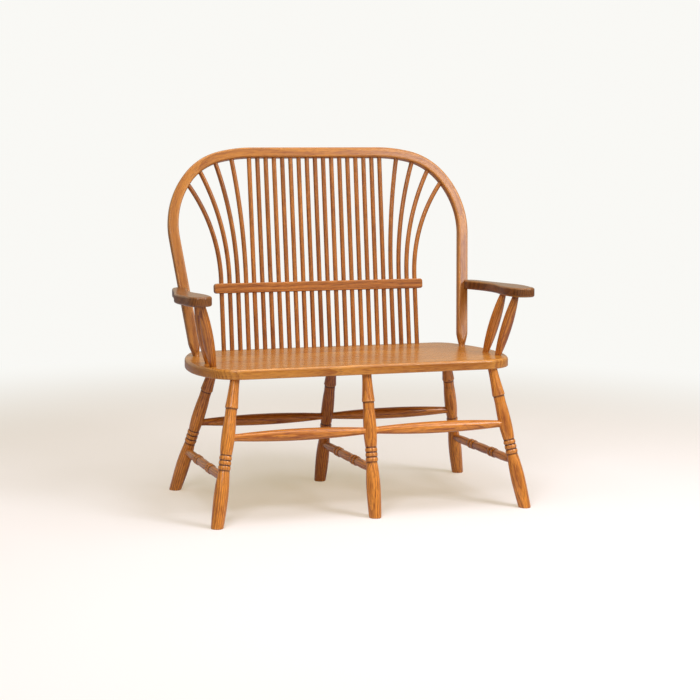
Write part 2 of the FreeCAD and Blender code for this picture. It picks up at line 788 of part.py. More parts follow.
# Middle rail, set at the slope of the spindles that pass through it
railBody = doc.addObject("PartDesign::Body", "rail_board")
railSketch = sketchOn(railBody, "rail_face", "XZ_Plane")
railBox = [(0.0, 0.0), (size["rail_half_length"], 0.0),
           (size["rail_half_length"], size["rail_tall"]), (0.0, size["rail_tall"])]
drawChain(railSketch, railBox, [None] * 4,
          [("0", "0"), ("sizes.rail_half_length", "0"),
           ("sizes.rail_half_length", "sizes.rail_tall"), ("0", "sizes.rail_tall")], None, True)
railPad = railBody.newObject("PartDesign::Pad", "rail_pad")
railPad.Profile = railSketch
railPad.setExpression("Length", "sizes.rail_thick")
railPad.Midplane = True
railMirror = railBody.newObject("PartDesign::Mirrored", "rail_mirror")
railMirror.Originals = [railPad]
railPlane = [item for item in railBody.Origin.OriginFeatures if item.Role == "YZ_Plane"][0]
railMirror.MirrorPlane = (railPlane, [""])
railBody.Tip = railMirror
railLean = math.degrees(math.atan2(lowerRun.y, lowerRun.z))
railBody.Placement = FreeCAD.Placement(Vec(0, railSpot(size["rail_height"]), size["rail_height"]),
                                       FreeCAD.Rotation(Vec(1, 0, 0), -railLean))
doc.recompute()


def edgesWhere(shape, test):
    return ["Edge%d" % (index + 1) for index, item in enumerate(shape.Edges) if test(item)]


def endCorner(item):
    # the four edges through the thickness at the rail's ends
    box = item.BoundBox
    flat = box.XLength < nought and box.ZLength < nought
    return flat and abs(box.XMin) > size["rail_half_length"] / 2


railRound = railBody.newObject("PartDesign::Fillet", "rail_end_rounds")
localRail = railMirror.Shape
railRound.Base = (railMirror, edgesWhere(localRail, endCorner))
railRound.setExpression("Radius", "sizes.rail_end_round")
railBody.Tip = railRound
doc.recompute()
railEase = railBody.newObject("PartDesign::Fillet", "rail_eased_edges")


def faceEdge(item):
    box = item.BoundBox
    return box.YLength < nought


railEase.Base = (railRound, edgesWhere(railRound.Shape, faceEdge))
railEase.setExpression("Radius", "sizes.rail_edge")
railBody.Tip = railEase
pieces["back_rail"] = cutFrom("back_rail", railBody, railTools)

# Arms: a violin-shaped board notched round the bow's limb
armRise = (size["arm_height"] - size["seat_height"]) / math.cos(bowLean)
limbTop = bowPoints[4]
limbX = limbTop[0] + (limbTop[1] - armRise) * bowDown[0] / -bowDown[1]
armMiddle = limbX + size["arm_outside_limb"]
paddle = size["arm_paddle_half"]
backY = bowSpot(limbX, armRise).y - size["arm_short_of_limb"]
frontY = size["arm_from_front"] - size["seat_front"]
armLength = backY - frontY

# plan points round the arm: share of its length from the front, offset in paddle halves
armPlan = [
    (0.000, -0.05), (0.012, 0.35), (0.050, 0.60), (0.130, 0.74), (0.230, 0.87), (0.340, 0.94),
    (0.430, 0.86), (0.530, 0.63), (0.640, 0.42), (0.760, 0.18), (0.880, -0.01), (0.960, -0.23),
    (0.995, -0.55), (0.995, -0.88), (0.960, -1.12), (0.860, -1.03), (0.740, -0.74),
    (0.600, -0.60), (0.460, -0.66), (0.330, -0.88), (0.210, -1.00), (0.110, -0.97),
    (0.040, -0.80), (0.008, -0.45),
]


def armShape(side):
    # the board's own plane passes through the place where its height is taken
    spots = []
    for share, out in armPlan:
        along = frontY - heightY + share * armLength
        spots.append(Vec(side * (armMiddle + out * paddle), along, 0))
    curve = Part.BSplineCurve()
    curve.interpolate(spots, PeriodicFlag=True)
    face = Part.Face(Part.Wire(curve.toShape()))
    board = face.extrude(Vec(0, 0, -size["arm_thick"]))
    rims = [item for item in board.Edges if item.BoundBox.ZLength < nought]
    return board.makeFillet(size["arm_edge"], rims)


def bowLimbBox(name, side):
    # room for the squared limb where the arm is notched round it
    start = bowFrame.multVec(Vec(side * limbEnd.x, 0, limbEnd.z))
    run = bowTilt.multVec(Vec(-side * limbRun.x, 0, -limbRun.z))
    frame = alongAxis(start, start + run, bowTilt.multVec(Vec(1, 0, 0)))
    box = doc.addObject("Part::Box", name)
    box.setExpression("Length", "sizes.bow_width + 2 * sizes.joint_gap")
    box.setExpression("Width", "sizes.bow_thick + 2 * sizes.joint_gap")
    box.setExpression("Height", joinSize("bow_limb_length", limbTop[1]))
    shift = Vec(-size["bow_width"] / 2 - size["joint_gap"],
                -size["bow_thick"] / 2 - size["joint_gap"], 0)
    box.Placement = FreeCAD.Placement(frame.multVec(shift), frame.Rotation)
    return box


def postRows(lengthName):
    length = size[lengthName]
    neck = size["post_tenon"] + size["post_neck"]
    neckRule = "(sizes.post_tenon + sizes.post_neck)"
    line = "sizes." + lengthName
    low = size["post_end_radius"]
    rule = "sizes.post_end_radius"
    swell = size["post_middle_radius"] - low
    return [(low, rule, 0.0, "0", 0), (low, rule, neck, neckRule, swell),
            (low, rule, length - neck, "%s - %s" % (line, neckRule), 0),
            (low, rule, length, line, 0)]


for side, word in ((-1, "left"), (1, "right")):
    arm = doc.addObject("Part::Feature", "arm_%s_board" % word)
    arm.Shape = armShape(side)
    arm.Placement = FreeCAD.Placement(Vec(0, heightY, size["arm_height"]),
                                      FreeCAD.Rotation(Vec(1, 0, 0), -size["arm_tilt"]))
    armTools = [bowLimbBox("arm_%s_notch" % word, side)]
    for end in ("front", "back"):
        low = Vec(side * (size["seat_half_width"] - size["post_%s_from_end" % end]),
                  size["post_%s_from_front" % end] - size["seat_front"], 0)
        low.z = seatTop(low.y)
        high = underArm(side * (armMiddle - size["post_%s_from_middle" % end]),
                        frontY + size["post_%s_from_tip" % end])
        run = (high - low).normalize()
        start = low - run * size["post_tenon"]
        finish = high + run * size["post_tenon"]
        label = "arm_post_%s_%s" % (word, end)
        lengthName = "post_%s_length" % end
        joinSize(lengthName, span(start, finish))
        pieces[label] = turned(label, postRows(lengthName), alongAxis(start, finish))
        seatTools.append(rod(label + "_seat_socket", "post_end_radius", "joint_gap",
                             start - run * gap, low + run * reach))
        armTools.append(rod(label + "_arm_socket", "post_end_radius", "joint_gap",
                            high - run * reach, finish + run * gap))
    pieces["arm_" + word] = cutFrom("arm_" + word, arm, armTools)

# Seat: half the outline padded, mirrored, its edges rounded, then every socket
seatBody = doc.addObject("PartDesign::Body", "seat_plank")
seatSketch = sketchOn(seatBody, "seat_outline", "XY_Plane")
seatNames = [("sizes.seat_point_%d_x" % index, "sizes.seat_point_%d_y" % index)
             for index in range(len(seatChain))]
seatRadii = [None, "sizes.seat_front_corner", "sizes.seat_side_round", "sizes.seat_long_round",
             "sizes.seat_back_corner", None, None]
drawChain(seatSketch, seatChain, seatMiddles, seatNames, seatRadii, True)
seatPad = seatBody.newObject("PartDesign::Pad", "seat_pad")
seatPad.Profile = seatSketch
seatPad.setExpression("Length", "sizes.seat_thick")
seatPad.Reversed = True
seatMirror = seatBody.newObject("PartDesign::Mirrored", "seat_mirror")
seatMirror.Originals = [seatPad]
seatPlane = [item for item in seatBody.Origin.OriginFeatures if item.Role == "YZ_Plane"][0]
seatMirror.MirrorPlane = (seatPlane, [""])
seatBody.Tip = seatMirror
doc.recompute()


def rimAt(height):
    return lambda item: (item.BoundBox.ZLength < nought
                         and abs(item.BoundBox.ZMin - height) < nought)


seatRoll = seatBody.newObject("PartDesign::Fillet", "seat_top_roll")
seatRoll.Base = (seatMirror, edgesWhere(seatMirror.Shape, rimAt(0.0)))
seatRoll.setExpression("Radius", "sizes.seat_top_round")
seatBody.Tip = seatRoll
doc.recompute()
seatEase = seatBody.newObject("PartDesign::Fillet", "seat_under_ease")
seatEase.Base = (seatRoll, edgesWhere(seatRoll.Shape, rimAt(-size["seat_thick"])))
seatEase.setExpression("Radius", "sizes.seat_under_round")
seatBody.Tip = seatEase
seatBody.Placement = FreeCAD.Placement(Vec(0, -size["seat_front"], seatTop(-size["seat_front"])),
                                       FreeCAD.Rotation(Vec(1, 0, 0), -size["seat_tilt"]))
pieces["seat"] = cutFrom("seat", seatBody, seatTools)

doc.recompute()

# Every object has to be sound before anything is written
for item in doc.Objects:
    if "Invalid" in item.State or "Error" in item.State:
        raise RuntimeError("object failed: %s %s" % (item.Name, item.State))
os.makedirs("parts", exist_ok=True)
for label, piece in pieces.items():
    piece.Label = label
    shape = piece.Shape
    if shape.isNull() or not shape.isValid():
        raise RuntimeError("bad shape: " + label)
    if len(shape.Solids) != 1:
        raise RuntimeError("%s has %d solids" % (label, len(shape.Solids)))
for label, piece in pieces.items():
    piece.Shape.exportStep(os.path.join("parts", label + ".step"))
whole = Part.makeCompound([piece.Shape for piece in pieces.values()])
print(len(pieces), "pieces", whole.BoundBox)
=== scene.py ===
import math
import bpy
import numpy as np
from mathutils import Matrix


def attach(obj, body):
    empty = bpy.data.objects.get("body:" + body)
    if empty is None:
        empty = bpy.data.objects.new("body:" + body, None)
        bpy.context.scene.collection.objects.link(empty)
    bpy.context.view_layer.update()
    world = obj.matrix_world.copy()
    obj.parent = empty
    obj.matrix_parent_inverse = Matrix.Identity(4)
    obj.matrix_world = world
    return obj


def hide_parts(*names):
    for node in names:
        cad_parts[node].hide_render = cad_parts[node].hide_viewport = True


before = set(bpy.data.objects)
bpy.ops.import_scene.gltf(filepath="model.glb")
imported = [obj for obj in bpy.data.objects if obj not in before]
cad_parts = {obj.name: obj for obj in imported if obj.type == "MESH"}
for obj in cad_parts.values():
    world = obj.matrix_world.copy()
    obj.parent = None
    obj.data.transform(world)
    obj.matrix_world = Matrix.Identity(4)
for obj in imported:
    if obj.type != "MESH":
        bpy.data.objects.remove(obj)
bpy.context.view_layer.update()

# An oak deacons bench: plank seat, turned legs and stretchers, a bent bow with
# spindles through a thin rail, and shaped arms on turned posts. Metres and degrees,
# X along the bench, Y towards its back, Z up, the floor at zero.

print("frame loaded with", len(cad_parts), "nodes")

fit = {
    "tenonInset": 0.002,        # how far a tenon's end lies inside the solid one's
    "sharpAngle": 38.0,         # edges sharper than this stay crisp
    "rowStep": 0.002,           # between the rings of a turned piece
    "levelReach": 0.04,         # over this length the end of a leg turns level
    "edgeRows": 9,              # round the rounded edge of a board
    "capInset": 1.35,           # the ring of a board's flat, in edge roundings from its outline
}
crest = {
    "reach": 0.006,             # how far round a spot its neighbourhood goes
    "step": 0.0005,
    "full": 0.0012,             # a radius this far from the mean counts in full
    "boardWear": 0.6,           # how much of that a board's edge gets
}
# each piece's place in the log is drawn from its own number, and a group counts on from these
logNumbers = {
    "seat": 1,
    "legs": 10,
    "stretchers": 20,
    "bow": 40,
    "spindles": 60,
    "rail": 90,
    "arms": 95,
    "posts": 127,
}


def unit(vector):
    # a direction scaled to length one
    vector = np.asarray(vector, float)
    return vector / np.linalg.norm(vector)


# tangent, sine and cosine of an angle in degrees
def tan(degrees):
    return math.tan(math.radians(degrees))


def sin(degrees):
    return math.sin(math.radians(degrees))


def cos(degrees):
    return math.cos(math.radians(degrees))


# Mesh making: every piece is a grid of rows and columns, capped at both ends
def makePiece(node, slot, grid, grain, wearAndShade, tone=0.0):
    # neighbouring rows and columns give four-sided faces, the first and last rows a cap
    rows, columns = grid.shape[:2]
    spots = np.arange(rows * columns).reshape(rows, columns)
    after = np.roll(spots, -1, axis=1)
    quads = np.stack([spots[:-1], after[:-1], after[1:], spots[1:]], axis=-1).reshape(-1, 4)
    faces = quads.tolist() + [spots[0, ::-1].tolist(), spots[-1].tolist()]
    mesh = bpy.data.meshes.new(node + "_wood")
    mesh.from_pydata(grid.reshape(-1, 3).tolist(), [], faces)
    # of these three layers, the middle one is rubbed wear where positive and painted shade where
    # negative
    for label, kind, field, values in (("grain", "FLOAT_VECTOR", "vector", grain),
                                       ("wearAndShade", "FLOAT", "value", wearAndShade),
                                       ("tone", "FLOAT", "value", np.full(wearAndShade.shape, tone))):
        layer = mesh.attributes.new(label, kind, "POINT")
        layer.data.foreach_set(field, np.ascontiguousarray(values, np.float32).ravel())
    mesh.shade_smooth()
    mesh.set_sharp_from_angle(angle=math.radians(fit["sharpAngle"]))
    mesh.update()
    piece = bpy.data.objects.new(node + "_wood", mesh)
    bpy.context.scene.collection.objects.link(piece)
    mesh.materials.append(finishes[slot])
    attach(piece, "root")
    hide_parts(node)
    return piece


def blankOffset(seed):
    # each piece is cut from its own place in the log and is a little lighter or darker
    dice = np.random.default_rng(seed)
    turn = dice.uniform(0, 2 * math.pi)
    away = dice.uniform(0.05, 0.11)
    offset = np.array([away * math.cos(turn), away * math.sin(turn), dice.uniform(0, 40)])
    return offset, dice.uniform(-1, 1)


def curveRows(spots):
    # between two profile spots the radius runs straight plus a parabola as high as the bulge
    radii = []
    places = []
    for (radius, place, bulge), (nextRadius, nextPlace, unused) in zip(spots, spots[1:]):
        count = max(2, int(abs(nextPlace - place) / fit["rowStep"]))
        share = np.linspace(0, 1, count, endpoint=False)
        radii.append(radius + (nextRadius - radius) * share + 4 * bulge * share * (1 - share))
        places.append(place + (nextPlace - place) * share)
    radii.append([spots[-1][0]])
    places.append([spots[-1][1]])
    return np.concatenate(radii), np.concatenate(places)


def hollowness(radii, places):
    # a radius against its neighbourhood's mean: negative in a groove, positive on a crest
    even = np.arange(places[0], places[-1], crest["step"])
    level = np.interp(even, places, radii)
    size = int(crest["reach"] / crest["step"])
    padded = np.pad(level, size, mode="edge")
    mean = np.convolve(padded, np.ones(2 * size + 1) / (2 * size + 1), mode="valid")
    return np.clip(np.interp(places, even, level - mean) / crest["full"], -1, 1)


def turnPiece(node, slot, spots, start, end, seed, columns=40, level=None):
    # a turned piece: rings of the profile's radius stand square to the line start to end;
    # with a level, the first rings lean until the end lies flat at that height
    start = np.asarray(start, float)
    run = unit(np.asarray(end, float) - start)
    side = unit(np.cross(run, (0, 1, 0)))
    across = np.cross(run, side)
    radii, places = curveRows(spots)
    angle = np.linspace(0, 2 * math.pi, columns, endpoint=False)
    ringX = np.cos(angle)
    ringY = np.sin(angle)
    out = ringX[:, None] * side + ringY[:, None] * across
    grid = start + places[:, None, None] * run + radii[:, None, None] * out
    if level is not None:
        fade = np.clip(1 - (places - places[0]) / fit["levelReach"], 0, 1) ** 2
        slide = -(grid[:, :, 2] - level - (places - places[0])[:, None] * run[2]) / run[2]
        grid = grid + (fade[:, None] * slide)[:, :, None] * run
        grid[0, :, 2] = level
    offset, tone = blankOffset(seed)
    grain = np.empty_like(grid)
    grain[..., 0] = radii[:, None] * ringX + offset[0]
    grain[..., 1] = radii[:, None] * ringY + offset[1]
    grain[..., 2] = places[:, None] + offset[2]
    # negative in a groove, where it becomes painted shade; positive on a crest, where it becomes
    # rubbed wear
    wearAndShade = np.repeat(hollowness(radii, places)[:, None], columns, axis=1)
    return makePiece(node, slot, grid, grain, wearAndShade, tone)


def bendGrid(path, depth, section, seed):
    # a section carried along a path: its first number runs to the path's left, its second
    # along the depth direction, and it may differ from row to row
    ahead = np.gradient(path, axis=0)
    tangent = ahead / np.linalg.norm(ahead, axis=1)[:, None]
    left = np.cross(depth, tangent)
    grid = path[:, None] + section[..., :1] * left[:, None] + section[..., 1:] * depth
    steps = np.linalg.norm(np.diff(path, axis=0), axis=1)
    offset, tone = blankOffset(seed)
    grain = np.empty_like(grid)
    grain[..., 0] = section[..., 0] + offset[0]
    grain[..., 1] = section[..., 1] + offset[1]
    grain[..., 2] = np.concatenate([[0], np.cumsum(steps)])[:, None] + offset[2]
    return grid, grain, tone


def boardPiece(node, slot, outline, thick, topRound, underRound, place, seed, axes):
    # a flat board: its outline is set in by each rounding's arc at the top and the underside,
    # and the axes say which of its own directions the grain runs across, across and along
    ahead = np.roll(outline, -1, axis=0) - np.roll(outline, 1, axis=0)
    outward = np.stack([ahead[:, 1], -ahead[:, 0]], axis=1)
    outward /= np.linalg.norm(outward, axis=1)[:, None]
    turn = np.linspace(0, math.pi / 2, fit["edgeRows"])
    inset = [underRound * fit["capInset"], *(underRound * (1 - np.sin(turn)))]
    height = [-thick, *(-thick + underRound * (1 - np.cos(turn)))]
    edge = [0.0, *np.sin(2 * turn)]
    inset += [0.0] + [*(topRound * (1 - np.cos(turn)))] + [topRound * fit["capInset"]]
    height += [-thick / 2] + [*(-topRound * (1 - np.sin(turn)))] + [0.0]
    edge += [0.0] + [*np.sin(2 * turn)] + [0.0]
    inset = np.array(inset)
    height = np.array(height)
    flat = outline[None] - inset[:, None, None] * outward[None]
    local = np.concatenate([flat, np.repeat(height[:, None], len(outline), 1)[..., None]], axis=2)
    turning = np.array(place.to_3x3())
    grid = local @ turning.T + np.array(place.translation)
    offset, tone = blankOffset(seed)
    grain = local[..., list(axes)] + offset
    wearAndShade = np.repeat(np.array(edge)[:, None], len(outline), axis=1)
    return makePiece(node, slot, grid, grain, wearAndShade * crest["boardWear"], tone)


def placed(origin, leanBack):
    # a frame at the origin given, leaning back about X by that many degrees
    return Matrix.Translation(origin) @ Matrix.Rotation(math.radians(-leanBack), 4, "X")


# Oak finish: two tones of the wood, roughness, varnish, ring width and board width of each
oak = {
    "oak_seat": {"light": (0.68, 0.280, 0.042), "dark": (0.31, 0.088, 0.010), "gloss": 0.24,
                 "coat": 0.25, "ring": 0.0070, "boards": 0.118},
    "oak_turned_base": {"light": (0.84, 0.300, 0.036), "dark": (0.30, 0.072, 0.008), "gloss": 0.30,
                        "coat": 0.40, "ring": 0.0056, "boards": 0.0},
    "oak_turned_posts": {"light": (0.72, 0.260, 0.034), "dark": (0.26, 0.066, 0.009), "gloss": 0.30,
                         "coat": 0.35, "ring": 0.0056, "boards": 0.0},
    "oak_arms": {"light": (0.25, 0.088, 0.016), "dark": (0.090, 0.026, 0.005), "gloss": 0.28,
                 "coat": 0.35, "ring": 0.0060, "boards": 0.0},
    "oak_bow": {"light": (0.49, 0.182, 0.024), "dark": (0.24, 0.066, 0.008), "gloss": 0.34,
                "coat": 0.20, "ring": 0.0062, "boards": 0.0},
    "oak_back": {"light": (0.52, 0.180, 0.027), "dark": (0.20, 0.054, 0.008), "gloss": 0.34,
                 "coat": 0.25, "ring": 0.0050, "boards": 0.0},
}
oakShared = {
    "pore": (0.060, 0.016, 0.004),      # stain held in the open pores; also the colour of the painted shade in the grooves
    "worn": (0.80, 0.38, 0.10),         # where an edge is rubbed through to lighter wood
    "ringStrength": 0.62,               # how much each of these darkens the wood
    "streakStrength": 0.26,
    "fleckStrength": 0.46,
    "fibreStrength": 0.20,
    "toneStrength": 0.16,
    "cloudStrength": 0.14,
    "poreStrength": 0.66,
    "poreInEarly": 0.75,                # more pores in the early wood of a ring
    "poreElsewhere": 0.30,
    "lateRise": (0.25, 0.92),           # shares of a ring over which it darkens
    "lateFall": (1.0, 0.94),
    "earlyFade": (0.34, 0.02),
    "ringWander": 0.034,                # how far the rings stray, in metres
    "grooveShade": 1.5,                 # how fast painted shade darkens a groove as it deepens
    "rubbedStrength": 0.45,
    "rubbedCloud": (0.35, 0.65),
    "boardTone": 0.7,                   # from the darkest board of the seat to the lightest
    "boardShift": (0.07, 0.05, 9.0),
    "poreRoughness": 0.18,
    "fibreRoughness": 0.05,
    "fibreDepth": 0.25,                 # against a pore's depth
    "bump": 0.00016,
    "bumpStrength": 0.8,
    "coatRoughness": 0.16,
    "reflect": 0.30,                    # how strong the bare wood's own reflection is
}
# waves a metre across and along the grain, detail and roughness
oakNoise = {
    "wander": (7.0, 1.7, 2.0, 0.50),
    "cloud": (16.0, 4.0, 2.0, 0.50),
    "streak": (150.0, 3.2, 3.0, 0.60),
    "fleck": (420.0, 34.0, 1.5, 0.55),
    "fibre": (900.0, 16.0, 2.0, 0.60),
    "pore": (1300.0, 46.0, 1.0, 0.50),
}
# the part of each noise's range that is read from nought to one
oakSpan = {
    "cloud": (0.30, 0.70),
    "streak": (0.36, 0.68),
    "fleck": (0.50, 0.68),
    "fibre": (0.35, 0.68),
    "pore": (0.53, 0.66),
}


class NodeDesk:
    # lays nodes out in one material and joins them
    def __init__(self, material):
        self.tree = material.node_tree
        self.tree.nodes.clear()
        self.count = 0

    def add(self, kind, inputs=None, **settings):
        node = self.tree.nodes.new(kind)
        node.location = (200 * (self.count % 12), -220 * (self.count // 12))
        self.count += 1
        for name, value in settings.items():
            setattr(node, name, value)
        for key, value in (inputs or {}).items():
            if isinstance(value, bpy.types.NodeSocket):
                self.tree.links.new(value, node.inputs[key])
            else:
                node.inputs[key].default_value = value
        return node

    def sum(self, operation, first, second=0.0, third=0.0, clamp=False):
        made = self.add("ShaderNodeMath", {0: first, 1: second, 2: third}, operation=operation,
                        use_clamp=clamp)
        return made.outputs[0]

    def scaled(self, vector, factors):
        made = self.add("ShaderNodeVectorMath", {0: vector, 1: factors}, operation="MULTIPLY")
        return made.outputs[0]

    def blend(self, amount, first, second, way="MIX"):
        made = self.add("ShaderNodeMix", {0: amount, 6: first, 7: second}, data_type="RGBA",
                        blend_type=way)
        return made.outputs[2]

    def spread(self, value, low, high, outLow=0.0, outHigh=1.0):
        made = self.add("ShaderNodeMapRange", {0: value, 1: low, 2: high, 3: outLow, 4: outHigh})
        return made.outputs[0]


def grainNoise(desk, vector, name):
    # soft noise drawn out along the grain
    across, along, detail, roughness = oakNoise[name]
    return desk.add("ShaderNodeTexNoise", {"Vector": desk.scaled(vector, (across, across, along)),
                                           "Scale": 1.0, "Detail": detail, "Roughness": roughness})


def grainField(desk, vector, name):
    # the same noise, with its span stretched from nought to one
    return desk.spread(grainNoise(desk, vector, name).outputs["Fac"], *oakSpan[name])


def ringField(desk, bent, width):
    # how far a spot is through its growth ring, read as dark late wood and porous early wood
    flat = desk.scaled(bent, (1.0, 1.0, 0.0))
    reach = desk.add("ShaderNodeVectorMath", {0: flat}, operation="LENGTH").outputs["Value"]
    ring = desk.sum("FRACT", desk.sum("DIVIDE", reach, width))
    late = desk.sum("MULTIPLY", desk.spread(ring, *oakShared["lateRise"]),
                    desk.spread(ring, *oakShared["lateFall"]), clamp=True)
    return late, desk.spread(ring, *oakShared["earlyFade"])


def makeOak(name):
    # growth rings about the log's centre, streaks and pores drawn out along the grain
    look = oak[name]
    material = bpy.data.materials.new(name)
    material.use_nodes = True
    desk = NodeDesk(material)
    grain = desk.add("ShaderNodeAttribute", attribute_name="grain").outputs["Vector"]
    wearAndShade = desk.add("ShaderNodeAttribute", attribute_name="wearAndShade").outputs["Fac"]
    tone = desk.add("ShaderNodeAttribute", attribute_name="tone").outputs["Fac"]
    if look["boards"]:
        # the seat is glued up from boards, each from its own place in the log
        axes = desk.add("ShaderNodeSeparateXYZ", {0: grain})
        board = desk.sum("FLOOR", desk.sum("DIVIDE", axes.outputs[0], look["boards"]))
        shade = desk.add("ShaderNodeTexWhiteNoise", {"W": board}, noise_dimensions="1D")
        tone = desk.spread(shade.outputs["Value"], 0, 1, -oakShared["boardTone"],
                           oakShared["boardTone"])
        shift = desk.scaled(shade.outputs["Color"], oakShared["boardShift"])
        grain = desk.add("ShaderNodeVectorMath", {0: grain, 1: shift}, operation="ADD").outputs[0]
    # slow wander of the rings along the piece
    stray = oakShared["ringWander"]
    bent = desk.add("ShaderNodeVectorMath",
                    {0: grainNoise(desk, grain, "wander").outputs["Color"],
                     1: (stray, stray, 0.0), 2: grain},
                    operation="MULTIPLY_ADD").outputs[0]
    late, early = ringField(desk, bent, look["ring"])
    # streaks a few millimetres apart, short flecks, and fine fibres and pores between them
    streaks = grainField(desk, bent, "streak")
    flecks = grainField(desk, bent, "fleck")
    fibres = grainField(desk, bent, "fibre")
    porous = desk.sum("MULTIPLY_ADD", early, oakShared["poreInEarly"], oakShared["poreElsewhere"])
    pore = desk.sum("MULTIPLY", grainField(desk, bent, "pore"), porous, clamp=True)
    darkness = desk.sum("MULTIPLY", late, oakShared["ringStrength"])
    for field, strength in ((streaks, "streakStrength"), (flecks, "fleckStrength"),
                            (fibres, "fibreStrength"), (tone, "toneStrength")):
        darkness = desk.sum("MULTIPLY_ADD", field, oakShared[strength], darkness)
    cloud = grainNoise(desk, grain, "cloud").outputs["Fac"]
    deep = oakShared["cloudStrength"]
    clouded = desk.spread(cloud, *oakSpan["cloud"], -deep, deep)
    darkness = desk.sum("ADD", darkness, clouded, clamp=True)
    color = desk.blend(darkness, (*look["light"], 1), (*look["dark"], 1))
    color = desk.blend(desk.sum("MULTIPLY", pore, oakShared["poreStrength"]), color,
                       (*oakShared["pore"], 1))
    # painted shade darkens the grooves, where the value is negative, and crests are rubbed in patches
    groove = desk.sum("MULTIPLY", wearAndShade, -oakShared["grooveShade"], clamp=True)
    color = desk.blend(groove, color, (*oakShared["pore"], 1))
    rubbed = desk.sum("MULTIPLY", desk.sum("MULTIPLY", wearAndShade, oakShared["rubbedStrength"], clamp=True),
                      desk.spread(cloud, *oakShared["rubbedCloud"]))
    color = desk.blend(rubbed, color, (*oakShared["worn"], 1))
    rough = desk.sum("MULTIPLY_ADD", pore, oakShared["poreRoughness"], look["gloss"])
    rough = desk.sum("MULTIPLY_ADD", fibres, oakShared["fibreRoughness"], rough)
    hollow = desk.sum("MULTIPLY_ADD", fibres, -oakShared["fibreDepth"],
                      desk.sum("MULTIPLY", pore, -1.0))
    bump = desk.add("ShaderNodeBump", {"Strength": oakShared["bumpStrength"],
                                       "Distance": oakShared["bump"], "Height": hollow})
    surface = desk.add("ShaderNodeBsdfPrincipled",
                       {"Base Color": color, "Roughness": rough, "Normal": bump.outputs[0],
                        "Specular IOR Level": oakShared["reflect"], "Coat Weight": look["coat"],
                        "Coat Roughness": oakShared["coatRoughness"]})
    desk.add("ShaderNodeOutputMaterial", {0: surface.outputs[0]})
    return material


finishes = {name: makeOak(name) for name in oak}
print("oak finishes made")

# Seat plank
seat = {
    "height": 0.450,
    "heightFromFront": 0.222,          # the heights of seat and arms are taken this far back
    "tilt": 1.15,                      # front edge higher
    "thick": 0.030,
    "halfWidth": 0.503,
    "front": 0.25531,                  # from the middle of the whole bench
    "depth": 0.505,
    "frontCorner": (0.105, 68.0),      # radius and degrees of turn
    "sideRound": 0.375,
    "backTurn": 113.0,
    "backCorner": 0.075,
    "topRound": 0.009,
    "underRound": 0.004,
    "straightSteps": 40,
    "arcSteps": 28,
}
seatBack = seat["depth"] - seat["front"]
heightY = seat["heightFromFront"] - seat["front"]


def seatTop(y):
    # the top falls by the tilt's tangent towards the back
    return seat["height"] - tan(seat["tilt"]) * (y - heightY)


def onSeat(x, y):
    # the spot of the seat's top above a place on the floor
    return np.array([x, y, seatTop(y)])


def underSeat(x, y):
    # the spot of its underside above the same place: the thickness is measured square to it
    return np.array([x, y, seatTop(y) - seat["thick"] / cos(seat["tilt"])])


def arcRun(start, radius, fromTurn, toTurn, count):
    # points of an arc that sets off at one heading and ends at another, turning left
    turn = np.radians(np.linspace(fromTurn, toTurn, count))
    centre = start + radius * np.array([-sin(fromTurn), cos(fromTurn)])
    return centre + radius * np.stack([np.sin(turn), -np.cos(turn)], axis=1)


def seatOutline():
    # half the plank is a straight front, four arcs and a straight back, and the rest mirrors it
    radius, turn = seat["frontCorner"]
    back = seat["backTurn"]
    longRound = (seat["depth"] - radius * (1 - cos(turn)) - seat["sideRound"] * cos(turn)
                 - seat["backCorner"] * (1 + cos(back))) / -cos(back)
    straight = seat["halfWidth"] - radius * sin(turn) - seat["sideRound"] * (1 - sin(turn))
    steps = seat["straightSteps"]
    runs = [np.stack([np.linspace(0, straight, steps, endpoint=False), np.zeros(steps)], axis=1)]
    spot = np.array([straight, 0.0])
    for size, fromTurn, toTurn in ((radius, 0, turn), (seat["sideRound"], turn, 90),
                                   (longRound, 90, back), (seat["backCorner"], back, 180)):
        arc = arcRun(spot, size, fromTurn, toTurn, seat["arcSteps"])
        runs.append(arc[:-1])
        spot = arc[-1]
    runs.append(np.stack([np.linspace(spot[0], 0, steps), np.full(steps, seat["depth"])], axis=1))
    half = np.concatenate(runs)
    mirrored = half[::-1][1:-1] * (-1, 1)
    return np.concatenate([half, mirrored])


seatFrame = placed((0, -seat["front"], seatTop(-seat["front"])), seat["tilt"])
boardPiece("seat", "oak_seat", seatOutline(), seat["thick"], seat["topRound"], seat["underRound"],
           seatFrame, logNumbers["seat"], (1, 2, 0))
print("seat made")

# Legs
leg = {
    "frontIn": (0.094, 0.032),           # top of the axis from the seat's end and front
    "frontSplay": (0.078, -0.090),       # how far out the foot stands
    "backIn": (0.116, 0.137),            # from its end and back
    "backSplay": (0.099, 0.131),
    "tenon": 0.018,
    "neck": 0.014,
    "footRadius": 0.0186,
    "lowerRadius": 0.0216,
    "beadRadius": 0.0186,
    "grooveRadius": 0.0164,
    "upperRadius": 0.0200,
    "waistRadius": 0.0172,
    "collarRadius": 0.0196,
    "neckRadius": 0.0144,
    "lowerAt": 0.20,                     # shares of the way from the floor to the seat
    "beadsFrom": 0.385,
    "beadsTo": 0.485,
    "upperAt": 0.58,
    "waistAt": 0.75,
    "collarAt": 0.806,
    "footRound": 0.0012,                 # the foot's rounded rim
    "footRoundTall": 0.0025,
    "footRoundBulge": 0.0004,
    "footBulge": 0.0005,                 # how far each run swells past a straight line
    "lowerBulge": 0.0012,
    "waistBulge": 0.0005,
    "upperBulge": 0.0009,
    "collarBulge": -0.0005,
    "grooveShare": 0.003,                # shares of the length, of the steps beside the beads
    "ledgeShare": 0.006,
    "columns": 48,
}


